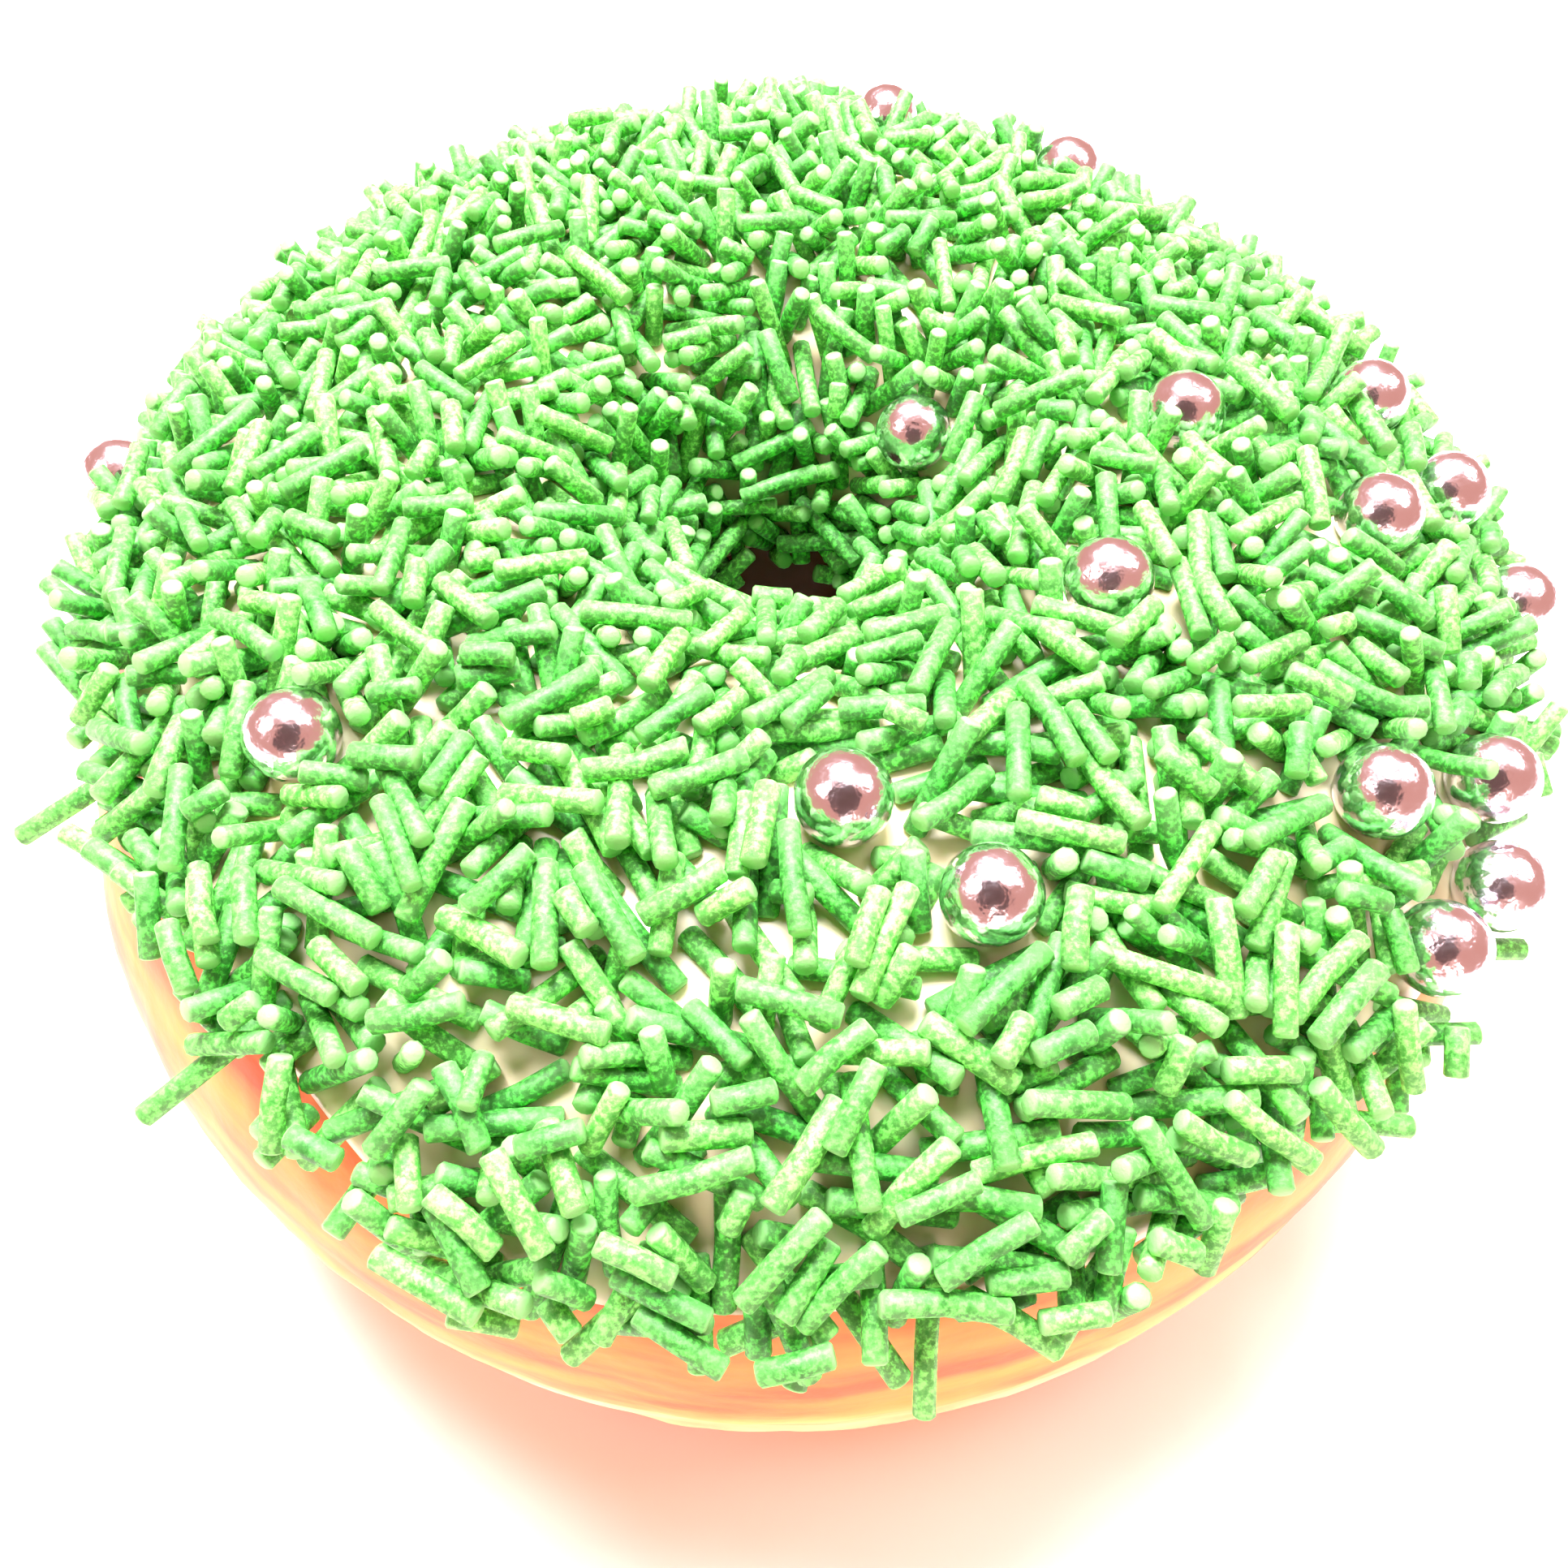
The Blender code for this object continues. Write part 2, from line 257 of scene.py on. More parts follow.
def icing_outer_edge(ring):
    slump = 7.5 * np.cos(ring - math.radians(244)) + 6.6 * np.cos(2 * (ring - math.radians(4)))
    waves = np.cos(3 * ring + 1.7) + 1.5 * np.sin(5 * ring + 1.9) + np.sin(11 * ring - 0.2)
    lifted = 3.5 * np.exp(26.0 * (np.cos(ring - math.radians(233)) - 1.0))
    return np.radians(26.0 + slump + waves + lifted)


def icing_hole_edge(ring):
    waves = 3.0 * np.sin(3 * ring + 0.5) + 2.0 * np.sin(5 * ring)
    return np.radians(166.0 - 5.0 * np.sin(ring) + waves)


# %% [markdown]
# ## Camera
# The photograph was taken from close by, about 100 mm from the ring and some 49 degrees above
# the table, which is why the front of the ring looks so much larger than its back. The camera
# looks at a point a little in front of the hole.

# %% Place the camera
CAMERA_ELEVATION = math.radians(49.0)
CAMERA_DISTANCE = 97.8 * MM
LENS = 33.1

ring_middle = Vector(RING_CENTRE) + Vector((0, 0, CORE_HEIGHT))
towards_camera = Vector((0, -math.cos(CAMERA_ELEVATION), math.sin(CAMERA_ELEVATION)))
bpy.ops.object.camera_add(location=ring_middle + towards_camera * CAMERA_DISTANCE)
camera = bpy.context.active_object
camera.name = "photo_camera"
aim = ring_middle + Vector((0, -8.9 * MM, 0))
camera.rotation_euler = (camera.location - aim).to_track_quat("Z", "Y").to_euler()
camera.data.lens = LENS
camera.data.sensor_width = 36.0
camera.data.clip_start = 0.005
bpy.context.scene.camera = camera

# %% [markdown]
# ## Fried dough
# Yeast dough fries to a thin golden-brown skin wherever it lies in the oil. Its middle floats
# just clear of the oil, so a pale band with soft creases is left round the outside. The finish
# follows height: brown below, pale at the waist, deep orange above, partly the crust's own colour
# and partly painted shade under the icing, with the borders broken up by noise as large as the
# blisters of the skin. Inside the narrow hole the dough is painted darker brown as shade, and an
# attribute says how far inside it a point lies.

# %% Fried dough finish
def make_fried_dough():
    """A thin crust with a film of fat on it: soft highlights, and light goes a little way in."""
    material, tree, shader = new_material("fried_yeast_dough")
    place = add_node(tree, "ShaderNodeTexCoord").outputs["Object"]
    wander = add_node(tree, "ShaderNodeTexNoise", {"Vector": place, "Scale": 1 / (14 * MM), "Detail": 4.0})
    blisters = add_node(
        tree, "ShaderNodeTexNoise", {"Vector": place, "Scale": 1 / (1.6 * MM), "Detail": 6.0}
    )
    height = add_node(tree, "ShaderNodeSeparateXYZ", {"Vector": place}).outputs["Z"]
    for noise, reach in ((wander, 5.0 * MM), (blisters, 1.2 * MM)):
        shifted = add_node(
            tree, "ShaderNodeMath", {0: noise.outputs["Fac"], 1: reach, 2: height},
            {"operation": "MULTIPLY_ADD"},
        )
        height = shifted.outputs[0]
    up_the_side = add_node(
        tree, "ShaderNodeMapRange", {"Value": height, "From Min": 0.0, "From Max": 40.0 * MM}
    )
    # The deep orange stops near the top are partly the crust's own colour and partly painted shade under
    # the icing's edge
    bands = add_node(tree, "ShaderNodeValToRGB", {"Fac": up_the_side.outputs["Result"]}, stops=(
        (0.00, "C07838"), (0.20, "EA9E5A"), (0.33, "F8BC82"), (0.42, "FFD6A4"),
        (0.50, "F6B066"), (0.58, "E8862C"), (1.00, "D26418"),
    ))
    flattened = add_node(tree, "ShaderNodeMapping", {"Vector": place, "Scale": (0.35, 0.35, 2.4)})
    streaks = add_node(
        tree, "ShaderNodeTexNoise", {"Vector": flattened.outputs[0], "Scale": 1 / (5 * MM), "Detail": 5.0}
    )
    contrast = add_node(tree, "ShaderNodeValToRGB", {"Fac": streaks.outputs["Fac"]}, stops=(
        (0.35, "5A4A44"), (0.5, "BCBCBC"), (0.65, "EEE8E4"),
    ))
    streaked = add_node(
        tree, "ShaderNodeMix", {0: 0.6, 6: bands.outputs["Color"], 7: contrast.outputs["Color"]},
        {"data_type": "RGBA", "blend_type": "OVERLAY"},
    )
    # Painted shade: inside the hole the dough colour is mixed towards dark brown 6E3414
    hole_painted_shade = add_node(tree, "ShaderNodeAttribute", settings={"attribute_name": "hole_painted_shade"})
    hole_shaded = add_node(
        tree, "ShaderNodeMix", {0: hole_painted_shade.outputs["Fac"], 6: streaked.outputs[2], 7: colour("6E3414")},
        {"data_type": "RGBA"},
    )
    skin = add_node(
        tree, "ShaderNodeBump", {"Height": blisters.outputs["Fac"], "Strength": 0.35, "Distance": 0.25 * MM}
    )
    wire(tree, shader, {
        "Base Color": hole_shaded.outputs[2],
        "Normal": skin.outputs["Normal"],
        "Roughness": 0.5,
        "IOR": 1.5,
        "Subsurface Weight": 0.15,
        "Subsurface Radius": (1.0, 0.5, 0.25),
        "Subsurface Scale": 1.5 * MM,
    })
    return material


FRIED_DOUGH = make_fried_dough()

# %% [markdown]
# ## The dough ring
# It starts as a torus whose points are moved onto the section shape. Two passes of Displace
# then lift and press its skin: slow lumps, as big as a fingertip, and small blisters. Creases
# run round the pale waist, where the two fried halves pull apart. Underneath it stays flat.

# %% Model the ring
def add_fine_torus(ring_steps, section_steps):
    """A torus, subdivided once, with each point's ring angle and its turn round the tube."""
    bpy.ops.object.select_all(action="DESELECT")
    bpy.ops.mesh.primitive_torus_add(
        major_segments=ring_steps, minor_segments=section_steps,
        major_radius=CORE_RADIUS, minor_radius=10 * MM,
    )
    obj = bpy.context.active_object
    bpy.ops.object.mode_set(mode="EDIT")
    bpy.ops.mesh.select_all(action="SELECT")
    bpy.ops.mesh.subdivide(number_cuts=1)
    bpy.ops.object.mode_set(mode="OBJECT")
    points = get_points(obj.data)
    ring = np.arctan2(points[:, 1], points[:, 0])
    turn = np.arctan2(points[:, 2], np.hypot(points[:, 0], points[:, 1]) - CORE_RADIUS)
    return obj, ring, turn


# Each crease as its section angle, how far it wanders, both in degrees, its depth in mm, its width
# in degrees, and where round the ring its waves start
WAIST_CREASES = (
    (-3, 2.0, 0.5, 1.4, 0.4), (-9, 2.6, 0.6, 1.7, 2.1), (-16, 2.2, 0.5, 1.5, 4.0), (5, 2.0, 0.4, 1.5, 5.2),
)


def waist_creases(ring, section):
    """Creases that run round the pale band and wander up and down."""
    total = np.zeros_like(section)
    for centre, wander, depth, width, start in WAIST_CREASES:
        middle = centre + wander * np.sin(2 * ring + start) + 1.3 * np.sin(5 * ring + 2 * start)
        strength = 0.55 + 0.45 * np.sin(3 * ring + 3 * start)
        total -= depth * strength * np.exp(-(((np.degrees(section) - middle) / width) ** 2))
    return total * MM


def displace(obj, name, size, strength):
    """One pass of Displace with soft clouds of a given size, half of it outwards and half inwards."""
    texture = bpy.data.textures.new(name, "CLOUDS")
    texture.noise_scale = size
    modifier = obj.modifiers.new(name, "DISPLACE")
    modifier.texture = texture
    modifier.texture_coords = "LOCAL"
    modifier.strength = strength
    modifier.mid_level = 0.5


dough, ring, section = add_fine_torus(144, 80)
set_points(dough.data, ring_point(ring, section, waist_creases(ring, section)))
displace(dough, "slow_lumps", 12 * MM, 0.7 * MM)
displace(dough, "blisters", 2.6 * MM, 0.22 * MM)
apply_modifiers(dough)
points = get_points(dough.data)
points[:, 2] = np.maximum(points[:, 2], 0.0)
points[raw_point(ring, section, 0.0)[:, 2] <= 0.0, 2] = 0.0
set_points(dough.data, points)
from_middle = np.hypot(*(points - RING_CENTRE)[:, :2].T)
# Painted shade mask for the hole: 1 up to 10 mm from the hole's middle, fading to 0 at 15 mm
set_attribute(dough.data, "hole_painted_shade", np.clip((15.0 * MM - from_middle) / (5.0 * MM), 0, 1))
dough.data.shade_smooth()
settle(dough, "fried_ring", FRIED_DOUGH)
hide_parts("dough_ring")

# %% [markdown]
# ## Fondant icing
# Poured fondant is sugar syrup beaten white: dense, smooth, a little glossy, and light sinks
# into it before it comes back. It shows in the gaps between the sprinkles and as a thin rim
# where a ball has pushed it aside.

# %% Fondant finish
def make_fondant():
    """Fine sugar in syrup: an even cream colour, a soft shine and a slight glow from inside."""
    material, tree, shader = new_material("cream_fondant")
    place = add_node(tree, "ShaderNodeTexCoord").outputs["Object"]
    cloudy = add_node(tree, "ShaderNodeTexNoise", {"Vector": place, "Scale": 1 / (4 * MM), "Detail": 3.0})
    tint = add_node(
        tree, "ShaderNodeValToRGB", {"Fac": cloudy.outputs["Fac"]}, stops=((0.3, "DCC8A2"), (0.7, "EBDFC4"))
    )
    ripple = add_node(
        tree, "ShaderNodeBump", {"Height": cloudy.outputs["Fac"], "Strength": 0.15, "Distance": 0.2 * MM}
    )
    wire(tree, shader, {
        "Base Color": tint.outputs["Color"],
        "Normal": ripple.outputs["Normal"],
        "Roughness": 0.32,
        "IOR": 1.5,
        "Subsurface Weight": 0.3,
        "Subsurface Radius": (1.0, 0.8, 0.5),
        "Subsurface Scale": 1.0 * MM,
    })
    return material


FONDANT = make_fondant()

# %% [markdown]
# ## Places of the silver balls
# The solids already hold the balls' places, so they are read from there instead of being
# typed in again.

# %% Read the balls from the frame
BALL_NODES = sorted(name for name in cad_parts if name.startswith("silver_ball"))
ball_boxes = {name: [np.array(corner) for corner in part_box(name)] for name in BALL_NODES}
BALL_CENTRES = np.array([(low + high) / 2 for low, high in ball_boxes.values()])
BALL_RADIUS = max(high[2] - low[2] for low, high in ball_boxes.values()) / 2
print(len(BALL_NODES), "balls of", round(2000 * BALL_RADIUS, 2), "mm")

# %% [markdown]
# ## The icing
# The icing is a closed band: its upper side runs from the outer lip over the top and down into
# the hole, and its lower side comes back just over the dough. A torus has the same layout, so
# one is bent into place. Near a ball the upper side dips to hold it and rises in a soft rim.

# %% Model the icing
UPPER_SIDE = 0.86                # share of the band's points that go to its upper side
MEAN_SECTION_RADIUS = 18.0 * MM
LIP_ROUNDING = 1.6 * MM          # how far in from its edge the icing reaches its full height
LIP_START = 0.25                 # share of that height at the very edge
LIP_INSET = math.radians(1.0)
RIM_RISE = 0.55 * MM
RIM_GAP = 0.25 * MM              # from a ball's side to the top of the rim round it
RIM_WIDTH = 0.5 * MM


def ball_rims(points):
    """Rise of the icing near each ball: a thin rim round it and a dip below it."""
    total = np.zeros(len(points))
    for centre in BALL_CENTRES:
        gap = np.linalg.norm(points - centre, axis=1) - BALL_RADIUS
        near = gap < 2.0 * MM
        total[near] += RIM_RISE * np.exp(-((gap[near] - RIM_GAP) / RIM_WIDTH) ** 2)
        total[near] -= np.clip(0.1 * MM - gap[near], 0.0, 0.9 * MM)
    return total


icing, ring, turn = add_fine_torus(256, 70)
loop = (turn / (2 * np.pi)) % 1.0
on_top = loop < UPPER_SIDE
share = np.where(on_top, loop / UPPER_SIDE, (1.0 - loop) / (1.0 - UPPER_SIDE))
low, high = icing_outer_edge(ring), icing_hole_edge(ring)
from_lip = np.minimum(share, 1.0 - share) * (high - low) * MEAN_SECTION_RADIUS
lip = np.sqrt(np.clip(1.0 - (1.0 - np.clip(from_lip / LIP_ROUNDING, 0.0, 1.0)) ** 2, 0.0, 1.0))
underneath = low + LIP_INSET + (high - low - 2 * LIP_INSET) * share
section = np.where(on_top, low + (high - low) * share, underneath)
thickness = (ICING_TOP - ICING_GAP) * (LIP_START + (1.0 - LIP_START) * lip)
grow = np.where(on_top, ICING_GAP + thickness, ICING_GAP)
top_points = ring_point(ring, section, grow)
grow = grow + np.where(on_top, ball_rims(top_points), 0.0)
set_points(icing.data, ring_point(ring, section, grow))
icing.data.shade_smooth()
settle(icing, "icing", FONDANT)
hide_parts("icing_with_sprinkles")

# %% [markdown]
# ## Silvered sugar
# The balls are sugar pearls with a skin of silver leaf. Leaf mirrors its surroundings but never
# perfectly: it is full of shallow dents, so reflections are bright and soft-edged.

# %% Silver leaf finish
def make_silver_leaf():
    """A mirror with dents: bright reflections whose edges are broken up, duller here and there."""
    material, tree, shader = new_material("silver_leaf_on_sugar")
    place = add_node(tree, "ShaderNodeTexCoord").outputs["Object"]
    dents = add_node(tree, "ShaderNodeTexNoise", {"Vector": place, "Scale": 1 / (1.2 * MM), "Detail": 3.0})
    dull = add_node(
        tree, "ShaderNodeMapRange", {"Value": dents.outputs["Fac"], "To Min": 0.10, "To Max": 0.26}
    )
    bump = add_node(
        tree, "ShaderNodeBump", {"Height": dents.outputs["Fac"], "Strength": 0.5, "Distance": 0.26 * MM}
    )
    wire(tree, shader, {
        "Base Color": colour("E2E0EA"),
        "Metallic": 1.0,
        "Roughness": dull.outputs["Result"],
        "Normal": bump.outputs["Normal"],
    })
    return material


SILVER_LEAF = make_silver_leaf()

# %% [markdown]
# ## The silver balls
# One ball is modelled, slightly out of round, and copied to every place. Each copy is turned
# another way, so that no two show the same dents.

# %% Model one ball and copy it
bpy.ops.object.select_all(action="DESELECT")
bpy.ops.mesh.primitive_ico_sphere_add(subdivisions=5, radius=BALL_RADIUS)
first_ball = bpy.context.active_object
displace(first_ball, "out_of_round", 2.2 * MM, 0.16 * MM)
apply_modifiers(first_ball)
first_ball.data.shade_smooth()
for number, (node, centre) in enumerate(zip(BALL_NODES, BALL_CENTRES)):
    ball = first_ball.copy()
    ball.data = first_ball.data.copy()
    bpy.context.scene.collection.objects.link(ball)
    ball.location = centre
    ball.rotation_euler = (1.1 * number, 0.7 * number, 2.3 * number)
    settle(ball, node + "_bright", SILVER_LEAF)
    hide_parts(node)
bpy.data.objects.remove(first_ball)

# %% [markdown]
# ## Sugar sprinkles
# The sprinkles are sugar paste pressed through a plate with fine holes, dried and broken up:
# matt little rods, about 1.1 mm thick, mottled with pale and dark grains, with paler ends where
# they snapped. Each carries its own tone, so that neighbours differ.

# %% Sprinkle finish
def make_sugar_paste():
    """Dried paste of sugar and starch: matt, grainy, pale where the grains show, a trace see-through."""
    material, tree, shader = new_material("green_sugar_paste")
    place = add_node(tree, "ShaderNodeTexCoord").outputs["Object"]
    tone = add_node(tree, "ShaderNodeAttribute", settings={"attribute_name": "tone"})
    tip = add_node(tree, "ShaderNodeAttribute", settings={"attribute_name": "tip"})
    # Real grains are about 0.1 mm and wouldn't show, so they are drawn three times as coarse
    grain = add_node(
        tree, "ShaderNodeTexNoise",
        {"Vector": place, "Scale": 1 / (0.34 * MM), "Detail": 3.0, "Roughness": 0.65},
    )
    body = add_node(tree, "ShaderNodeValToRGB", {"Fac": tone.outputs["Fac"]}, stops=(
        (0.0, "3C9C3C"), (0.5, "54B44C"), (1.0, "76C864"),
    ))
    specks = add_node(tree, "ShaderNodeValToRGB", {"Fac": grain.outputs["Fac"]}, stops=(
        (0.32, "1E6C2A"), (0.47, "8C8C84"), (0.62, "F6FCEC"),
    ))
    mottled = add_node(
        tree, "ShaderNodeMix", {0: 0.9, 6: body.outputs["Color"], 7: specks.outputs["Color"]},
        {"data_type": "RGBA", "blend_type": "OVERLAY"},
    )
    ends = add_node(
        tree, "ShaderNodeMix", {0: tip.outputs["Fac"], 6: mottled.outputs[2], 7: colour("80C474")},
        {"data_type": "RGBA"},
    )
    bump = add_node(
        tree, "ShaderNodeBump", {"Height": grain.outputs["Fac"], "Strength": 0.4, "Distance": 0.12 * MM}
    )
    wire(tree, shader, {
        "Base Color": ends.outputs[2],
        "Normal": bump.outputs["Normal"],
        "Roughness": 0.55,
        "IOR": 1.5,
        "Subsurface Weight": 0.15,
        "Subsurface Radius": (0.4, 1.0, 0.3),
        "Subsurface Scale": 0.5 * MM,
    })
    return material


SUGAR_PASTE = make_sugar_paste()

# %% [markdown]
# ## One sprinkle
# A ten-sided rod, its rims bevelled and its length cut in two, so that copies can bow. It has
# about forty faces, which keeps some five thousand of them light.

# %% Model one sprinkle
SPRINKLE_RADIUS = 0.57 * MM
PATTERN_LENGTH = 6.0 * MM
RIM = 0.12 * MM

bpy.ops.object.select_all(action="DESELECT")
bpy.ops.mesh.primitive_cylinder_add(vertices=10, radius=SPRINKLE_RADIUS, depth=PATTERN_LENGTH)
pattern = bpy.context.active_object
bpy.ops.object.mode_set(mode="EDIT")
bpy.ops.mesh.select_all(action="DESELECT")
shape = bmesh.from_edit_mesh(pattern.data)
for edge in shape.edges:
    tall = abs(edge.verts[0].co.z - edge.verts[1].co.z) > PATTERN_LENGTH / 2
    edge.select_set(tall)
bmesh.update_edit_mesh(pattern.data)
bpy.ops.mesh.subdivide(number_cuts=1)
bpy.ops.mesh.select_all(action="DESELECT")
shape = bmesh.from_edit_mesh(pattern.data)
for edge in shape.edges:
    edge.select_set(all(abs(vertex.co.z) > PATTERN_LENGTH / 2 - 1e-6 for vertex in edge.verts))
bmesh.update_edit_mesh(pattern.data)
bpy.ops.mesh.bevel(offset=RIM, segments=1, affect="EDGES")
bpy.ops.object.mode_set(mode="OBJECT")
pattern_points = get_points(pattern.data)
pattern_faces = [tuple(face.vertices) for face in pattern.data.polygons]
bpy.data.objects.remove(pattern)
print("one sprinkle:", len(pattern_points), "points,", len(pattern_faces), "faces")

# %% [markdown]
# ## Laying the sprinkles
# Dipped in a tray, the icing takes up sprinkles until hardly any of it stays bare. Each one is
# therefore aimed at a spot that is still bare, and the best of a few headings is kept. Where
# it would cut deep into one that already lies there, it is lifted at that spot until the two
# overlap by little more than a seventh of their thickness, which tips it like a stick thrown on
# a pile. Many stick in the icing by one end, pushed in by
# the dipping: such a one is moved aside instead. In the photograph few of them stand in front and
# many at the back, so the steepness follows the ring angle. One that finds no room is left out.

# %% Rules for laying
SINK = 0.25 * MM                 # into the icing, for one that lies flat
STUCK_IN_DEPTH = 0.4 * MM        # and this much more for the lower end of a steep one
TOUCH = 0.9 * 2 * SPRINKLE_RADIUS    # between middle lines, so they sink into each other a little
HIGHEST = 2.8 * MM               # how far most sprinkles' ends may stand over the icing
SPIKE_HEIGHT = 4.4 * MM          # and those of the ones that stand up like grass
STEEP = math.radians(18)         # a steeper one is stuck in by one end and can't be lifted
EDGE_OVERHANG = math.radians(3.0)
HOLE_CLEAR_RADIUS = 4.4 * MM
BALL_CLEARANCE = 0.08 * MM
MOST_PUSHES = 8
NEIGHBOUR_REACH = 5.0 * MM
random = np.random.default_rng(5)


def nearest_on_rods(start, end, starts, ends):
    """Closest approach of one rod's middle line to many others: gaps, shares along it, and steps."""
    d1 = end - start
    d2 = ends - starts
    r = start - starts
    a = d1 @ d1
    e = np.einsum("ij,ij->i", d2, d2)
    f = np.einsum("ij,ij->i", d2, r)
    c = r @ d1
    b = d2 @ d1
    denominator = a * e - b * b
    s = np.where(denominator > 1e-14, np.clip((b * f - c * e) / np.maximum(denominator, 1e-14), 0, 1), 0.5)
    t = (b * s + f) / e
    s = np.where(t < 0, np.clip(-c / a, 0, 1), np.where(t > 1, np.clip((b - c) / a, 0, 1), s))
    t = np.clip(t, 0, 1)
    step = (start + d1 * s[:, None]) - (starts + d2 * t[:, None])
    return np.linalg.norm(step, axis=1), s, step


def rest_on_icing(start, end, facing, low_end_sunk):
    """Moves a rod along the surface's facing until its lowest part is sunk a little in the icing."""
    wanted = ICING_TOP + SPRINKLE_RADIUS - SINK - (STUCK_IN_DEPTH if low_end_sunk else 0.0)
    shares = np.linspace(0, 1, 5)[:, None]
    for _ in range(2):
        lowest = height_over_dough(start + (end - start) * shares)[0].min()
        start = start + facing * (wanted - lowest)
        end = end + facing * (wanted - lowest)
    return start, end


def is_over_icing(points):
    """Whether points lie over the icing, or only a little past its edges."""
    _, ring, section = height_over_dough(points)
    section = np.where(section < -np.pi / 2, section + 2 * np.pi, section)
    low, high = icing_outer_edge(ring) - EDGE_OVERHANG, icing_hole_edge(ring) + EDGE_OVERHANG
    return bool(((section > low) & (section < high)).all())


def clear_of_others(start, end):
    """Clear of the balls and of the middle of the hole."""
    shares = np.linspace(0, 1, 7)[:, None]
    line = start + (end - start) * shares
    if np.hypot(*(line - RING_CENTRE)[:, :2].T).min() < HOLE_CLEAR_RADIUS + SPRINKLE_RADIUS:
        return False
    along = end - start
    share = np.clip((BALL_CENTRES - start) @ along / (along @ along), 0, 1)
    gaps = np.linalg.norm(BALL_CENTRES - start - share[:, None] * along, axis=1)
    return gaps.min() > BALL_RADIUS + SPRINKLE_RADIUS + BALL_CLEARANCE


class BareIcing:
    """Points spread all over the icing, each bare until a sprinkle lies on it."""

    def __init__(self, count):
        ring = random.uniform(0, 2 * math.pi, count)
        low, high = icing_outer_edge(ring), icing_hole_edge(ring)
        section = low + (high - low) * random.uniform(0.01, 0.99, count)
        points = ring_point(ring, section, ICING_TOP + SPRINKLE_RADIUS)
        radius = np.hypot(*(points - RING_CENTRE)[:, :2].T)
        even = random.uniform(0, 1, count) < radius / radius.max()
        gaps = np.linalg.norm(points[:, None] - BALL_CENTRES[None], axis=2).min(axis=1)
        kept = even & (gaps > BALL_RADIUS + 0.3 * MM)
        self.points, self.ring, self.section = points[kept], ring[kept], section[kept]
        self.bare = np.ones(kept.sum(), bool)

    def cover(self, start, end):
        along = end - start
        reach = np.linalg.norm(along) / 2 + 1.5 * MM
        near = np.sum((self.points - (start + end) / 2) ** 2, axis=1) < reach ** 2
        offsets = self.points[near] - start
        share = np.clip(offsets @ along / (along @ along), 0, 1)
        self.bare[near] &= np.linalg.norm(offsets - share[:, None] * along, axis=1) > SPRINKLE_RADIUS

    def pick_spot(self):
        """A bare point at random, or any point once none is left."""
        open_spots = np.flatnonzero(self.bare)
        spot = random.choice(open_spots if len(open_spots) else len(self.ring))
        return self.ring[spot], self.section[spot]


class Pile:
    """The sprinkles that are already laid."""

    def __init__(self, room):
        self.starts = np.zeros((room, 3))
        self.ends = np.zeros((room, 3))
        self.middles = np.full((room, 3), 9.0)
        self.count = 0

    def add(self, start, end):
        self.starts[self.count] = start
        self.ends[self.count] = end
        self.middles[self.count] = (start + end) / 2
        self.count += 1
        bare_icing.cover(start, end)

    def make_room(self, start, end, facing, stuck_in):
        """Lifts a rod off those it would cut into, or moves it aside where it is stuck in by one end.

        Gives how far it was moved and its ends, or nothing where it finds no room.
        """
        middle = (start + end) / 2
        reach = np.linalg.norm(end - start) / 2 + NEIGHBOUR_REACH
        near = np.sum((self.middles[:self.count] - middle) ** 2, axis=1) < reach ** 2
        starts, ends = self.starts[:self.count][near], self.ends[:self.count][near]
        moved = 0.0
        for _ in range(MOST_PUSHES):
            if not len(starts):
                break
            gaps, shares, steps = nearest_on_rods(start, end, starts, ends)
            worst = int(np.argmin(gaps))
            if gaps[worst] >= TOUCH - 0.05 * MM:
                break
            upward = steps[worst] @ facing
            if stuck_in:
                aside = steps[worst] - upward * facing
                step = aside / max(np.linalg.norm(aside), 1e-9) * (TOUCH - gaps[worst] + 0.02 * MM)
                start, end = start + step, end + step
                moved += TOUCH - gaps[worst]
            else:
                rise = -upward + math.sqrt(max(upward ** 2 + TOUCH ** 2 - gaps[worst] ** 2, 0.0))
                share = shares[worst]
                weight = (1 - share) ** 2 + share ** 2
                start = start + facing * rise * (1 - share) / weight
                end = end + facing * rise * share / weight
                moved += rise / 2
            if moved > 2 * HIGHEST:
                return None
        else:
            return None
        allowed = ICING_TOP + (SPIKE_HEIGHT if stuck_in else HIGHEST) + 0.5 * MM
        if max(height_over_dough(np.array([start, end]))[0]) > allowed:
            return None
        return moved, start, end


# %% [markdown]
# ## Where they lie
# A few long ones that stick out past the edge are placed by name, because they give the
# outline its character. The rest are drawn at random with a fixed seed: the long ones first,
# the short ones into what they leave bare, and a last few hundred loosely on top.

# %% Lay them all
# Each as its ring angle, section angle, heading and tilt in degrees, and its length in mm
STRAYS = (
    (210, 46, -91, 15, 8.4), (196, 40, -164, 45, 5.8), (219, 37, -171, 36, 5.2), (235, 43, -107, 15, 8.6),
    (304, 28, -28, 32, 4.6), (313, 29, -136, 12, 4.2), (342, 42, -50, 43, 4.6), (278, 30, -100, 15, 5.5),
    (273, 31, -57, 15, 4.7), (336, 46, -63, 32, 4.6), (82, 73, -68, 43, 5.3), (90, 63, -68, 49, 4.2),
    (158, 42, -170, 50, 3.8), (259, 75, 23, 6, 9.1), (224, 57, 131, 22, 4.6),
)
SPRINKLE_COUNT = 5400
ON_TOP = 800                     # the last ones, laid anywhere
HEADINGS_TRIED = 3
SPOTS_TRIED = 3
SPIKE_TILTS = (math.radians(35), math.radians(75))
SLIDE = 0.35                     # of its length, that a flat one may lie to either side of its spot
BARE_POINTS = 14000
SHORT_SHARE = 0.55
SHORT_LENGTHS = (1.8, 3.8)       # in mm
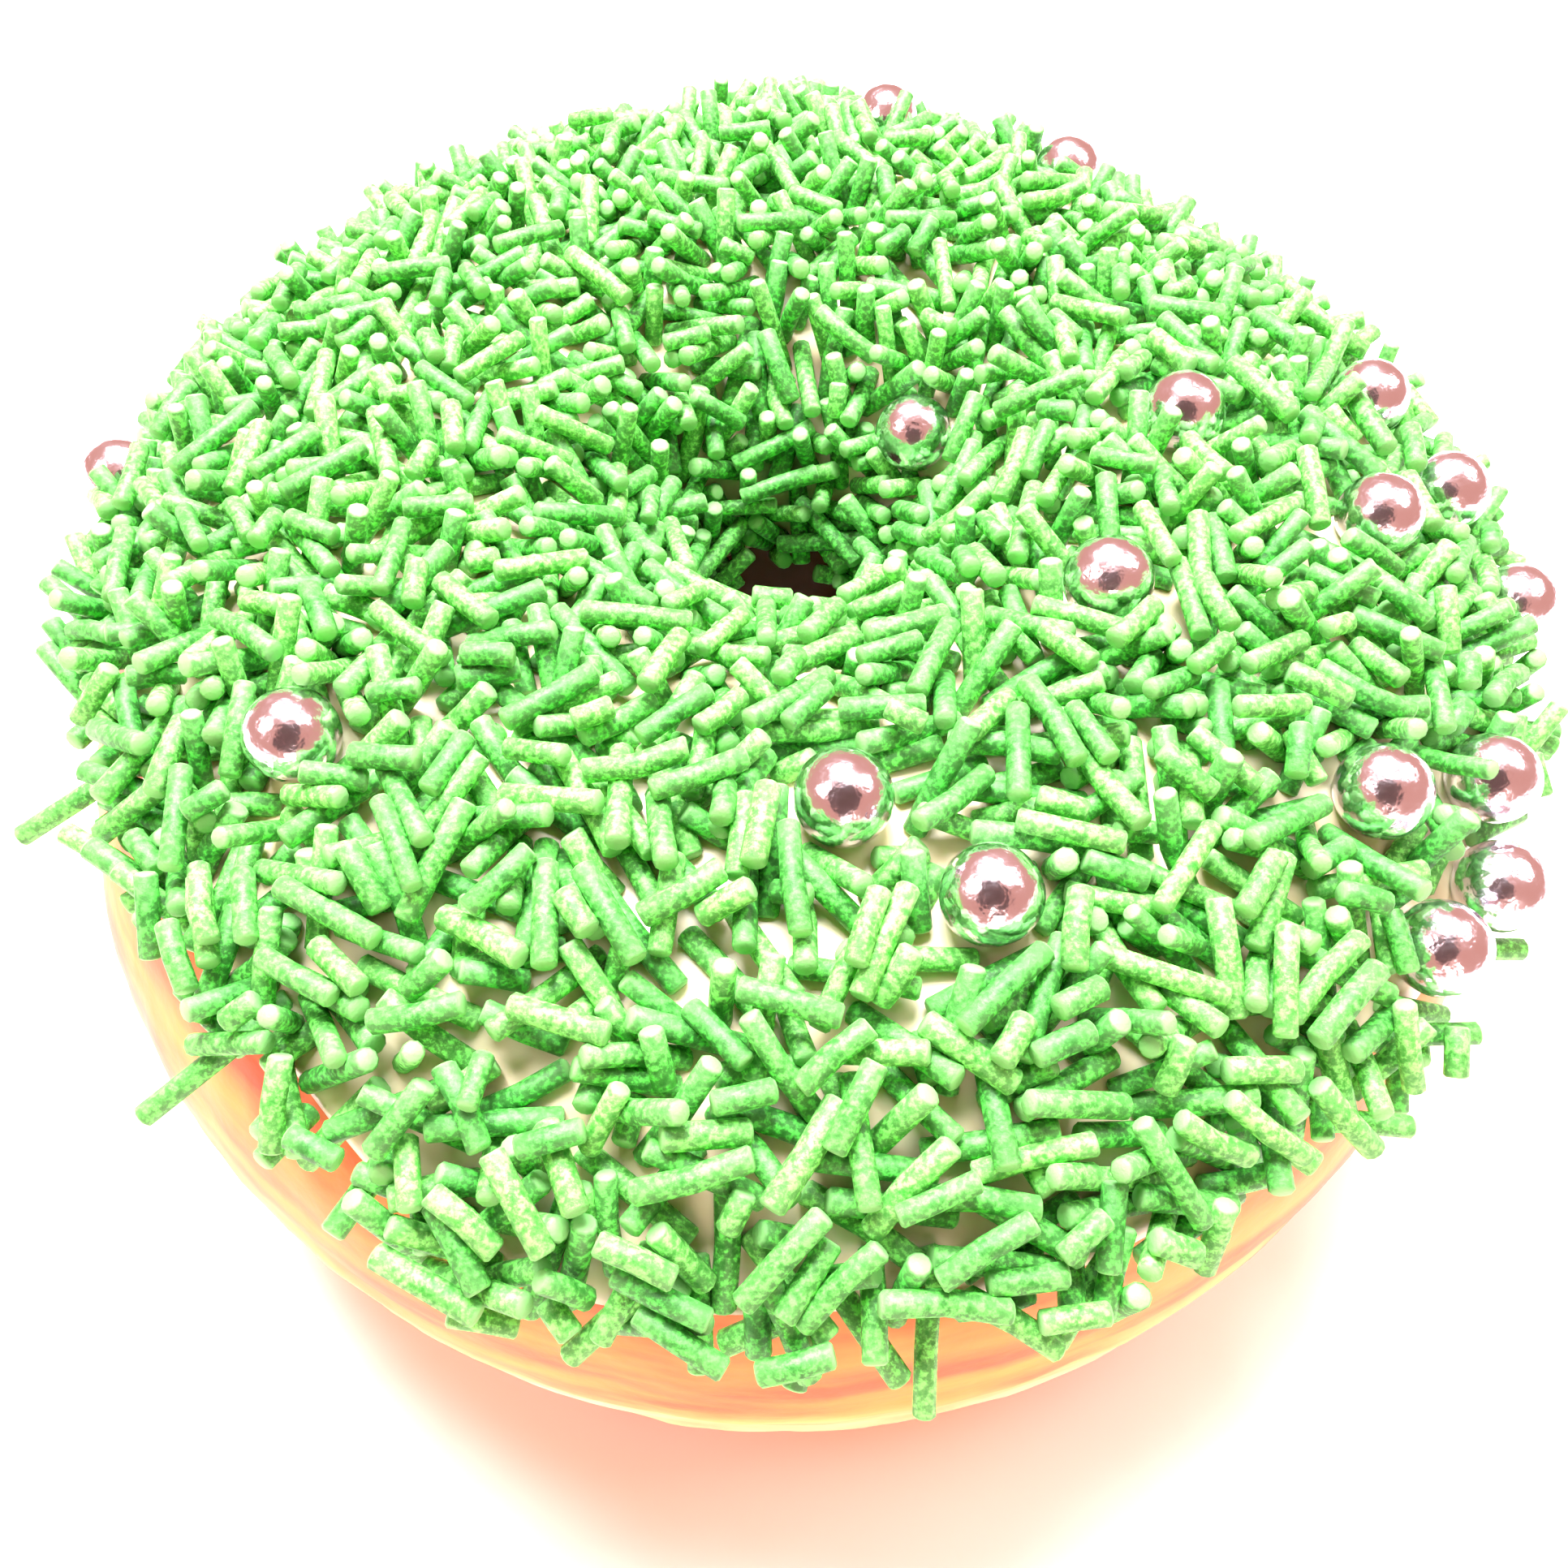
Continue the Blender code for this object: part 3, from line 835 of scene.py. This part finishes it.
LONG_LENGTHS = (3.6, 6.2)


def lengthwise(ring, section, heading, tilt):
    """Where a sprinkle touches the icing, which way it points and which way is up there."""
    point, around, over, facing = ring_axes(ring, section, ICING_TOP)
    flat = around * math.cos(heading) + over * math.sin(heading)
    return point, flat * math.cos(tilt) + facing * math.sin(tilt), facing


def usual_tilt(length, ring):
    """How steeply a sprinkle stands: most lie flat in front, and more stand like grass at the back."""
    towards_back = 0.5 + 0.5 * math.sin(ring)
    if random.random() < 0.03 + 0.22 * towards_back:
        steepest = math.asin(min(SPIKE_HEIGHT / length, 0.97))
        return min(random.uniform(*SPIKE_TILTS), steepest)
    steepest = math.asin(min((HIGHEST + 0.4 * MM) / length, 0.95))
    return min(abs(random.normal(0, math.radians(17 + 15 * towards_back))), steepest)


def lay_one(length, ring, section):
    """Tries a few headings at a spot and gives the ends of the one moved least, or nothing."""
    best = None
    for _ in range(HEADINGS_TRIED):
        tilt = usual_tilt(length, ring)
        point, along, facing = lengthwise(ring, section, random.uniform(0, 2 * math.pi), tilt)
        shift = random.uniform(-SLIDE, SLIDE) * length * along if tilt < STEEP else 0.0
        start, end = point + shift - along * length / 2, point + shift + along * length / 2
        start, end = rest_on_icing(start, end, facing, tilt > STEEP)
        if not is_over_icing(np.array([start, end])) or not clear_of_others(start, end):
            continue
        laid = pile.make_room(start, end, facing, tilt > STEEP)
        if laid and clear_of_others(*laid[1:]) and (best is None or laid[0] < best[0]):
            best = laid
    return best and best[1:]


bare_icing = BareIcing(BARE_POINTS)
pile = Pile(SPRINKLE_COUNT + len(STRAYS))
for ring_angle, section_angle, heading, tilt, length in STRAYS:
    angles = (math.radians(angle) for angle in (ring_angle, section_angle, heading, tilt))
    point, along, facing = lengthwise(*angles)
    start, end = rest_on_icing(point, point + along * length * MM, facing, True)
    if clear_of_others(start, end):
        pile.add(start, end)
strays_laid = pile.count

short_count = int(SHORT_SHARE * SPRINKLE_COUNT)
lengths = np.sort(np.concatenate([
    random.uniform(*SHORT_LENGTHS, short_count),
    random.uniform(*LONG_LENGTHS, SPRINKLE_COUNT - short_count),
]))[::-1] * MM
last = random.permutation(SPRINKLE_COUNT)[:ON_TOP]
lengths = np.concatenate([np.delete(lengths, last), lengths[last]])
misses = 0
for number, length in enumerate(lengths):
    if number == SPRINKLE_COUNT - ON_TOP:
        print("bare before the last ones:", round(100 * bare_icing.bare.mean(), 1), "percent of the icing")
        bare_icing.bare[:] = True
    for _ in range(SPOTS_TRIED):
        laid = lay_one(length, *bare_icing.pick_spot())
        if laid:
            pile.add(*laid)
            break
    else:
        misses += 1
print(pile.count, "sprinkles laid,", misses, "left out,", strays_laid, "long ones stick out")

# %% [markdown]
# ## From places to rods
# Every sprinkle gets a copy of the pattern's points, stretched in the middle only, so that the
# bevelled rims keep their size, bowed a little and turned at random about its length. Two
# numbers go with each point: the tone of its sprinkle, and how near it is to a broken end.

# %% Build the rods
THICKNESS_SPREAD = 0.05          # share of the usual thickness
BOW_SPREAD = 0.025               # share of the length
TIP_ZONE = 0.16 * MM             # paler, where it snapped


def build_sprinkles(name, chosen):
    """A rod between each chosen pair of ends, all joined in one mesh."""
    starts, ends = pile.starts[chosen], pile.ends[chosen]
    count = len(chosen)
    along = ends - starts
    length = np.linalg.norm(along, axis=1)
    along /= length[:, None]
    helper = np.where(np.abs(along[:, 2:3]) < 0.9, [[0.0, 0.0, 1.0]], [[1.0, 0.0, 0.0]])
    side = np.cross(along, helper)
    side /= np.linalg.norm(side, axis=1, keepdims=True)
    spin = random.uniform(0, 2 * np.pi, count)[:, None]
    across = np.cross(along, side)
    side, across = side * np.cos(spin) + across * np.sin(spin), across * np.cos(spin) - side * np.sin(spin)
    thickness = random.normal(1.0, THICKNESS_SPREAD, count)
    bow = random.normal(0.0, BOW_SPREAD, count) * length
    half = PATTERN_LENGTH / 2
    end_zone = RIM * 1.5
    z = pattern_points[:, 2]
    from_end = half - np.abs(z)
    stretched = np.where(
        from_end[None] < end_zone,
        np.sign(z)[None] * (length[:, None] / 2 - from_end[None]),
        z[None] * ((length[:, None] / 2 - end_zone) / (half - end_zone)),
    )
    bowed = bow[:, None] * (1 - (2 * stretched / length[:, None]) ** 2)
    middle = (starts + ends) / 2
    points = (
        middle[:, None]
        + side[:, None] * (pattern_points[None, :, 0:1] * thickness[:, None, None] + bowed[..., None])
        + across[:, None] * pattern_points[None, :, 1:2] * thickness[:, None, None]
        + along[:, None] * stretched[..., None]
    )
    offsets = np.arange(count) * len(pattern_points)
    faces = [tuple(index + offset for index in face) for offset in offsets for face in pattern_faces]
    mesh = bpy.data.meshes.new(name)
    mesh.from_pydata(points.reshape(-1, 3).tolist(), [], faces)
    set_attribute(mesh, "tone", np.repeat(random.uniform(0, 1, count), len(pattern_points)))
    tip = np.clip(1.0 - from_end / TIP_ZONE, 0.0, 1.0)
    set_attribute(mesh, "tip", np.tile(tip, count))
    mesh.shade_smooth()
    obj = bpy.data.objects.new(name, mesh)
    bpy.context.scene.collection.objects.link(obj)
    return settle(obj, name, SUGAR_PASTE)


KINDS = ("long_sprinkles", "middling_sprinkles", "short_sprinkles", "last_sprinkles")
for name, chosen in zip(KINDS, np.array_split(np.arange(pile.count), len(KINDS))):
    build_sprinkles(name, chosen)

# %% [markdown]
# ## Table and light
# The doughnut lies on a white table in strong daylight from above and behind, so the table
# burns out to white and the shadow falls towards the viewer. Light that has gone through the
# warm-coloured dough and off the room fills that shadow with a salmon tint, which also shows in
# the silver. A bright wall behind the photographer lifts the front of the dough a little. Their
# dark lens hangs close over the doughnut, and every ball has it as a brown spot.

# %% Table
bpy.ops.object.select_all(action="DESELECT")
bpy.ops.mesh.primitive_plane_add(size=3.0)
table = bpy.context.active_object
table.name = "table"
table_material, tree, shader = new_material("white_table")
shader.inputs["Base Color"].default_value = colour("F7F2F1")
shader.inputs["Roughness"].default_value = 0.6
table.data.materials.append(table_material)

# %% Dark lens round the camera
bpy.ops.object.select_all(action="DESELECT")
bpy.ops.mesh.primitive_cylinder_add(vertices=48, radius=46 * MM, depth=30 * MM)
lens_barrel = bpy.context.active_object
lens_barrel.name = "photographer_lens"
away_from_aim = (camera.location - aim).normalized()
lens_barrel.location = camera.location + away_from_aim * 28 * MM + Vector((0, 0, -10 * MM))
lens_barrel.rotation_euler = camera.rotation_euler
lens_material, tree, shader = new_material("black_lens_barrel")
shader.inputs["Base Color"].default_value = colour("34160E")
shader.inputs["Roughness"].default_value = 0.7
lens_barrel.data.materials.append(lens_material)

# %% Lights
def soft_light(name, place, size, power, tint):
    """A square softbox that looks at the ring."""
    bpy.ops.object.light_add(type="AREA", location=place)
    light = bpy.context.active_object
    light.name = name
    light.rotation_euler = (light.location - ring_middle).to_track_quat("Z", "Y").to_euler()
    light.data.size = size
    light.data.energy = power
    light.data.color = colour(tint)[:3]
    return light


soft_light("window_behind", (-0.05, 0.19, 0.56), 0.34, 18.5, "FFF8FC")
soft_light("window_right", (0.30, 0.06, 0.42), 0.26, 1.4, "FFF2F4")
soft_light("window_left", (-0.32, -0.10, 0.36), 0.20, 0.6, "FFF0F0")
soft_light("bright_wall_in_front", (0.05, -0.42, 0.07), 0.14, 0.8, "FFE2D8")

world = bpy.data.worlds.new("rosy_room")
bpy.context.scene.world = world
world.use_nodes = True
background = world.node_tree.nodes["Background"]
background.inputs["Color"].default_value = colour("FFB2A0")
background.inputs["Strength"].default_value = 0.9

bpy.context.scene.view_settings.view_transform = "Standard"
